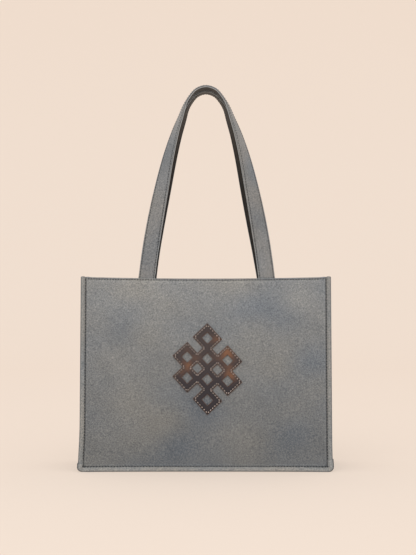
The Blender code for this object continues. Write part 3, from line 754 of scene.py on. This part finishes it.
def makeHandle(word, side):
    # sections across the line, turned about it as it rises; levels are heights above the layers' middle
    line = handleLine(side)
    along = unit(np.gradient(line, axis=0))
    reach, x, z = handle["width"] / 2, line[:, 0], np.minimum(line[:, 2], bag["height"])
    slope = (bulge(x + reach, z) - bulge(x - reach, z)) / (2 * reach)
    outward = pointsAt(-slope, side, 0)
    toInside = unit(np.cross(along, outward) * -side)
    facing = np.cross(along, toInside) * side
    share = ((line[:, 2] - rimMiddle) / handle["rise"] - handle["turnStart"]) / (1 - handle["turnStart"])
    turn = np.radians(handle["turn"]) * np.maximum(0, share)[:, None] ** handle["turnEase"]
    normal = facing * np.cos(turn) - toInside * np.sin(turn)
    width = toInside * np.cos(turn) + facing * np.sin(turn)
    edgeEnd, sewnEnd = 0.0008, 0.0036    # closest at the edge and round the stitches
    spots = stretches((0, edgeEnd, 5), (edgeEnd, sewnEnd, 8), (sewnEnd, reach, 5))
    spots = np.concatenate([spots - reach, (reach - spots)[-2::-1]])
    fromEdge = reach - np.abs(spots)
    crown = handle["crown"] * smoothStep(fromEdge, *handle["crownSpan"])
    crown -= bands(fromEdge, [(handle["groove"], handle["stitchIn"], handle["grooveWidth"])])
    edge = roundedEdge(fromEdge, handle["edge"])
    middle = line[:, None] + width[:, None] * spots[None, :, None]
    gap = bag["gap"] / 2
    levels = {"suedeOut": gap + handle["layer"] - edge + crown, "suedeIn": gap + edge,
              "backIn": -gap - edge, "backOut": -gap - handle["layer"] + edge - crown}
    grids = {key: middle + normal[:, None] * level[None, :, None] for key, level in levels.items()}
    pale = {"edge": np.tile(smoothStep(-fromEdge, *handle["paleEdge"]), (2 * len(line), 1))}
    rising = np.clip((line[:, 2:] - rimMiddle) / handle["rise"], 0, 1)
    # painted highlight along the edges and painted shade in the stitch grooves
    tone = handle["bright"] - handle["midDark"] * np.sin(np.pi * rising) + bands(fromEdge, handle["tones"])
    tones = bothFaces(napTone(grids["suedeOut"], seeds["handle"] + side, tone),
                      napTone(grids["suedeIn"], seeds["handleInside"], hiddenShade))
    makeSheet(f"{word}Handle", grids["suedeOut"], grids["suedeIn"], handleSuede, tones,
              "suede", f"{word}_handle")
    makeSheet(f"{word}HandleBacking", grids["backIn"], grids["backOut"], backingLeather, pale,
              "handle_backing", f"{word}_handle_backing")
    rows = []
    for spot in (-1, 1):
        column = np.abs(spots - spot * (reach - handle["stitchIn"])).argmin()
        rows.append((grids["suedeOut"][:, column], normal))
        rows.append((grids["backOut"][:, column], -normal))
    makeStitches(f"{word}HandleStitches", rows, handleStitch, darkThread, "suede")


for word, side in sides.items():
    makeHandle(word, side)
print("handles ready")


# Knot: an endless knot cut from one piece of vegetable-tanned leather, whose oiled face is dark brown, worn
# to rust in patches, and whose cut edges are burnished to a warmer brown

knot = {
    "hole": 0.0119, "band": 0.0096, "thickness": 0.0020, "height": 0.1548, "shift": 0.0023, "skew": 4.7,
    "stretch": 1.025,
    "centre": (0.5, -0.5),
    # its square frames, counted along the two slanted directions: right and down, right and up
    "frames": ((0, 0), (1, -1), (-1, 1), (-1, -1), (1, 1), (0, -2), (2, 0), (2, -2)),
    "steps": 12, "edge": 0.0007, "stitchIn": 0.0020, "groove": 0.0003, "grooveWidth": 0.0010,
    "burnished": (-0.0005, -0.0001),    # the cut edge's own brown, from here to here
    "darkens": (-30, 40),    # millimetres below the centre where it starts and is full
    "sewnHoles": ((1, 0), (0, -1)),
    # patches where the dye has worn to rust: millimetres right of and above the centre, radius, strength
    "rust": ((15, 44, 11, 0.70), (31, 22, 16, 1.0), (35, -8, 14, 0.95), (30, 3, 10, 0.60),
             (-30, 5, 11, 0.80), (-40, -3, 10, 0.60), (-17, 16, 10, 0.50),
             (14, 18, 10, 0.50), (-28, 27, 10, 0.40)),
}
knotStitch = {"pitch": 0.0044, "share": 0.46, "thread": 0.0012, "slant": 8}
# sewn is the near-black painted shade in the stitch grooves
knotLook = {"upper": "#403635", "lower": "#2c262b", "rust": "#80573c", "cut": "#76543f", "sewn": "#14100f"}


def knotMaterial(look):
    # attributes say where it is worn to rust, cut, low on the bag and grooved for its stitches, the grooves
    # in painted shade
    material, tree = newMaterial("vegetableTannedLeather")
    place = addNode(tree, "TexCoord").outputs["Object"]
    rust, cut, low, groove = (addNode(tree, "Attribute", attribute_name=key).outputs["Fac"]
                              for key in ("rust", "cut", "low", "groove"))
    patches = addNode(tree, "TexNoise", {"Vector": place, "Scale": 90.0, "Detail": 4.0, "Roughness": 0.6})
    grain = addNode(tree, "TexNoise", {"Vector": place, "Scale": 900.0, "Detail": 3.0, "Roughness": 0.6})
    body = addNode(tree, "Mix", {"Factor": low, "A": look["upper"], "B": look["lower"]}, data_type="RGBA")
    uneven = addNode(tree, "MapRange", {
        "Value": patches, "From Min": 0.3, "From Max": 0.7, "To Min": -0.25, "To Max": 0.25})
    worn = addNode(tree, "Math", {0: rust, 1: uneven}, operation="ADD", use_clamp=True)
    worn = addNode(tree, "Math", {0: worn, 1: rust}, operation="MULTIPLY", use_clamp=True)
    sewn = body
    # the last mix lays painted shade in the stitch grooves
    for share, key in ((worn, "rust"), (cut, "cut"), (groove, "sewn")):
        sewn = addNode(tree, "Mix", {"Factor": share, "A": sewn, "B": look[key]}, data_type="RGBA")
    pores = addNode(tree, "MapRange", {
        "Value": grain, "From Min": 0.3, "From Max": 0.7, "To Min": 0.85, "To Max": 1.12})
    colour = addNode(tree, "VectorMath", {0: sewn, 1: pores}, operation="MULTIPLY")
    lift = addNode(tree, "Bump", {"Height": grain, "Strength": 0.3, "Distance": 0.0003})
    shader = addNode(tree, "BsdfPrincipled", {
        "Base Color": colour, "Normal": lift, "Roughness": 0.55, "Specular IOR Level": 0.4})
    addNode(tree, "OutputMaterial", {"Surface": shader})
    return material


def knotPlace(u, v, lift):
    # a point above the front panel's face from distances along the two slanted directions,
    # stretched upwards and skewed down to the right
    x = (u + v) * math.sqrt(0.5)
    z = (v - u) * math.sqrt(0.5) * knot["stretch"] - math.tan(math.radians(knot["skew"])) * x
    x, z = x + knot["shift"], z + knot["height"]
    return onPanel(x, z, -lift - panelRelief(x, z, -1), -1)


def makeKnot():
    pitch = knot["hole"] + knot["band"]
    cells = set()
    for a, b in knot["frames"]:
        cells |= {(2 * a + i, 2 * b + j) for i in (-1, 0, 1) for j in (-1, 0, 1) if (i, j) != (0, 0)}
    first = np.array(sorted(cells)).min(0) - 1
    last = np.array(sorted(cells)).max(0) + 1

    def lattice(k, centre):
        # line k of the lattice, in metres from the knot's centre: an even cell is a hole wide and an odd
        # one a band, so the lines lie half a hole on each side of every whole pitch
        k = np.asarray(k)
        halfHole = np.where(k % 2 == 0, -1, 1) * knot["hole"] / pitch / 2
        return (np.floor_divide(k, 2) + halfHole - centre) * pitch

    counts = last - first + 1
    filled = np.array([[(first[0] + i, first[1] + j) in cells for j in range(counts[1])]
                       for i in range(counts[0])])
    lines = [lattice(np.arange(first[k], last[k] + 2), knot["centre"][k]) for k in (0, 1)]
    ease = (1 - np.cos(np.pi * np.arange(knot["steps"]) / knot["steps"])) / 2
    fine = [np.append((l[:-1, None] + np.diff(l)[:, None] * ease).ravel(), l[-1]) for l in lines]
    u, v = np.meshgrid(*fine, indexing="ij")

    # distance of each point from the nearest cut edge, and from the nearest one that is sewn along
    inside, fromSewn = np.ones(u.shape), np.ones(u.shape)
    framed = {(2 * a, 2 * b) for a, b in knot["frames"]}
    for i, j in np.argwhere(~filled):
        away = np.hypot(np.maximum(0, np.maximum(lines[0][i] - u, u - lines[0][i + 1])),
                        np.maximum(0, np.maximum(lines[1][j] - v, v - lines[1][j + 1])))
        inside = np.minimum(inside, away)
        if (first[0] + i, first[1] + j) not in framed:
            fromSewn = np.minimum(fromSewn, away)

    groove = bands(fromSewn, [(1, knot["stitchIn"], knot["grooveWidth"])])
    lift = knot["thickness"] - roundedEdge(inside, knot["edge"]) - knot["groove"] * groove
    top = knotPlace(u, v, bag["gap"] + lift)
    bottom = knotPlace(u, v, bag["gap"])
    mask = np.repeat(np.repeat(filled, knot["steps"], 0), knot["steps"], 1)
    index = np.arange(u.size).reshape(u.shape)
    quads = np.stack([index[:-1, :-1], index[1:, :-1], index[1:, 1:], index[:-1, 1:]], -1)[mask]
    pad = np.pad(mask, 1)
    walls = []
    for axis in (0, 1):
        here, there = (pad[1:, 1:-1], pad[:-1, 1:-1]) if axis == 0 else (pad[1:-1, 1:], pad[1:-1, :-1])
        start, end = (index[:, :-1], index[:, 1:]) if axis == 0 else (index[1:, :], index[:-1, :])
        for rising in (True, False):
            cut = (here & ~there) if rising else (~here & there)
            a, b = (start[cut], end[cut]) if rising else (end[cut], start[cut])
            walls.append(np.stack([a, b, b + u.size, a + u.size], -1))
    quads = np.concatenate([quads, quads[:, ::-1] + u.size, *walls])
    points = np.concatenate([top.reshape(-1, 3), bottom.reshape(-1, 3)])
    used = np.unique(quads)
    renumber = np.zeros(len(points), int)
    renumber[used] = np.arange(len(used))
    points, quads = points[used], renumber[quads]

    x = (points[:, 0] - knot["shift"]) * 1000
    z = (points[:, 2] - knot["height"]) * 1000
    rust = np.zeros(len(points))
    for right, above, radius, strength in knot["rust"]:
        rust = np.maximum(rust, strength * np.exp(-((x - right) ** 2 + (z - above) ** 2) / radius ** 2))
    distance = np.concatenate([inside.ravel(), np.zeros(u.size)])[used]
    attributes = {"rust": rust, "cut": smoothStep(-distance, *knot["burnished"]),
                  "low": smoothStep(-z, *knot["darkens"]), "groove": np.tile(groove.ravel(), 2)[used]}
    piece = makeMesh("knotApplique", points, quads, knotMaterial(knotLook), attributes)
    finishPiece(piece, "knot_leather", "knot_applique")

    # stitches follow the outer edge and the two sewn holes at a set distance inside the leather
    edges = {}
    for i, j in sorted(cells):
        for (di, dj), (a, b) in (((0, -1), ((0, 0), (1, 0))), ((1, 0), ((1, 0), (1, 1))),
                                 ((0, 1), ((1, 1), (0, 1))), ((-1, 0), ((0, 1), (0, 0)))):
            if (i + di, j + dj) not in cells:
                edges.setdefault((i + a[0], j + a[1]), []).append((i + b[0], j + b[1]))
    loops = []
    while edges:
        loop = [min(edges)]
        while edges.get(loop[-1]):
            options = edges[loop[-1]]
            if len(options) > 1:
                came = (loop[-1][0] - loop[-2][0], loop[-1][1] - loop[-2][1])
                options.sort(key=lambda p: came[0] * (p[1] - loop[-1][1]) - came[1] * (p[0] - loop[-1][0]))
            loop.append(options.pop())
            if not edges[loop[-2]]:
                del edges[loop[-2]]
        loops.append(loop[:-1])
    sewn = {(2 * a, 2 * b) for a, b in knot["sewnHoles"]}
    longest = max(loops, key=len)
    outward = [0.0, -1.0, 0.07]    # the panel's face, which leans back
    rows = []
    for loop in loops:
        if loop is not longest and not (len(loop) == 4 and min(loop) in sewn):
            continue
        corners = np.array(loop)
        at = pointsAt(*(lattice(corners[:, k], knot["centre"][k]) for k in (0, 1)))
        step = unit(np.roll(at, -1, 0) - at)
        left = pointsAt(-step[:, 1], step[:, 0])
        turns = np.abs((step * np.roll(step, 1, 0)).sum(1)) < 0.5
        at, leftHere, leftBefore = at[turns], left[turns], np.roll(left, 1, 0)[turns]
        at = at + (leftHere + leftBefore) * knot["stitchIn"]
        for a, b in zip(at, np.roll(at, -1, 0)):
            share = np.linspace(0, 1, 8)[:, None]
            run = a + (b - a) * share
            line = knotPlace(run[:, 0], run[:, 1], bag["gap"] + knot["thickness"])
            rows.append((line, np.tile(outward, (len(line), 1))))
    makeStitches("knotStitches", rows, knotStitch, paleThread, "knot_leather")


makeKnot()
print("knot ready")


# Studio: a pale paper sweep, a large soft light above and to the left, and even fill

studio = {
    "paper": "#f3e3d5", "glow": 0.50,    # share of the paper's light that doesn't depend on the lamps
    "world": "#ffffff", "worldStrength": 0.96,
    "keyPower": 3.0, "keySize": 1.0, "keyPlace": (-0.25, -1.1, 1.5), "keyColour": "#fffaf4",
    "aim": (0, 0, 0.25),
    "sweep": {"front": -6.0, "bend": 2.0, "radius": 1.5, "top": 6.0, "halfWidth": 7.0},
}


def makeSweep():
    # floor that curves up into a backdrop: a straight run, a quarter circle and a wall
    size = studio["sweep"]
    turn = np.linspace(0, np.pi / 2, 24)
    y = np.concatenate([[size["front"]], size["bend"] + size["radius"] * np.sin(turn),
                        [size["bend"] + size["radius"]]])
    z = np.concatenate([[0.0], size["radius"] * (1 - np.cos(turn)), [size["top"]]])
    x = np.array([-size["halfWidth"], size["halfWidth"]])
    grid = pointsAt(x[None], y[:, None], z[:, None])
    quads = gridQuads(np.arange(grid[..., 0].size).reshape(grid.shape[:2]))
    material, tree = newMaterial("paleSeamlessPaper")
    glow = addNode(tree, "Emission", {"Color": studio["paper"]})
    matt = addNode(tree, "BsdfDiffuse", {"Color": studio["paper"]})
    both = addNode(tree, "MixShader", {0: 1 - studio["glow"], 1: glow, 2: matt})
    addNode(tree, "OutputMaterial", {"Surface": both})
    makeMesh("paperSweep", grid.reshape(-1, 3), quads, material)


def makeKey():
    # a square area lamp whose face is turned towards the bag's middle
    lamp = bpy.data.lights.new("softKey", "AREA")
    lamp.shape, lamp.size, lamp.energy = "SQUARE", studio["keySize"], studio["keyPower"]
    lamp.color = hexColour(studio["keyColour"])[:3]
    key = addObject("softKey", lamp)
    key.location = studio["keyPlace"]
    aim = np.subtract(studio["aim"], studio["keyPlace"])
    key.rotation_euler = (math.atan2(math.hypot(aim[0], aim[1]), -aim[2]), 0, math.atan2(-aim[0], aim[1]))


makeSweep()
makeKey()
world = bpy.data.worlds.new("evenFill")
world.use_nodes = True
fill = world.node_tree.nodes["Background"].inputs
fill["Color"].default_value = hexColour(studio["world"])
fill["Strength"].default_value = studio["worldStrength"]
bpy.context.scene.world = world
bpy.context.scene.view_settings.view_transform = "Standard"


# Camera: level, in front, at the photograph's distance and framing

camera = {
    "focalPixels": 1173, "longSide": 555, "sensor": 36,
    "distance": 1.760,    # to the front's foot
    "place": (0.0032, 0.2918),    # right of the bag's middle, height
}
lens = bpy.data.cameras.new("camera")
lens.sensor_width = camera["sensor"]
lens.lens = camera["focalPixels"] / camera["longSide"] * camera["sensor"]
viewer = addObject("camera", lens)
viewer.location = (camera["place"][0], -bag["baseDepth"] / 2 - camera["distance"], camera["place"][1])
viewer.rotation_euler = (math.pi / 2, 0, 0)
bpy.context.scene.camera = viewer
print("studio ready")
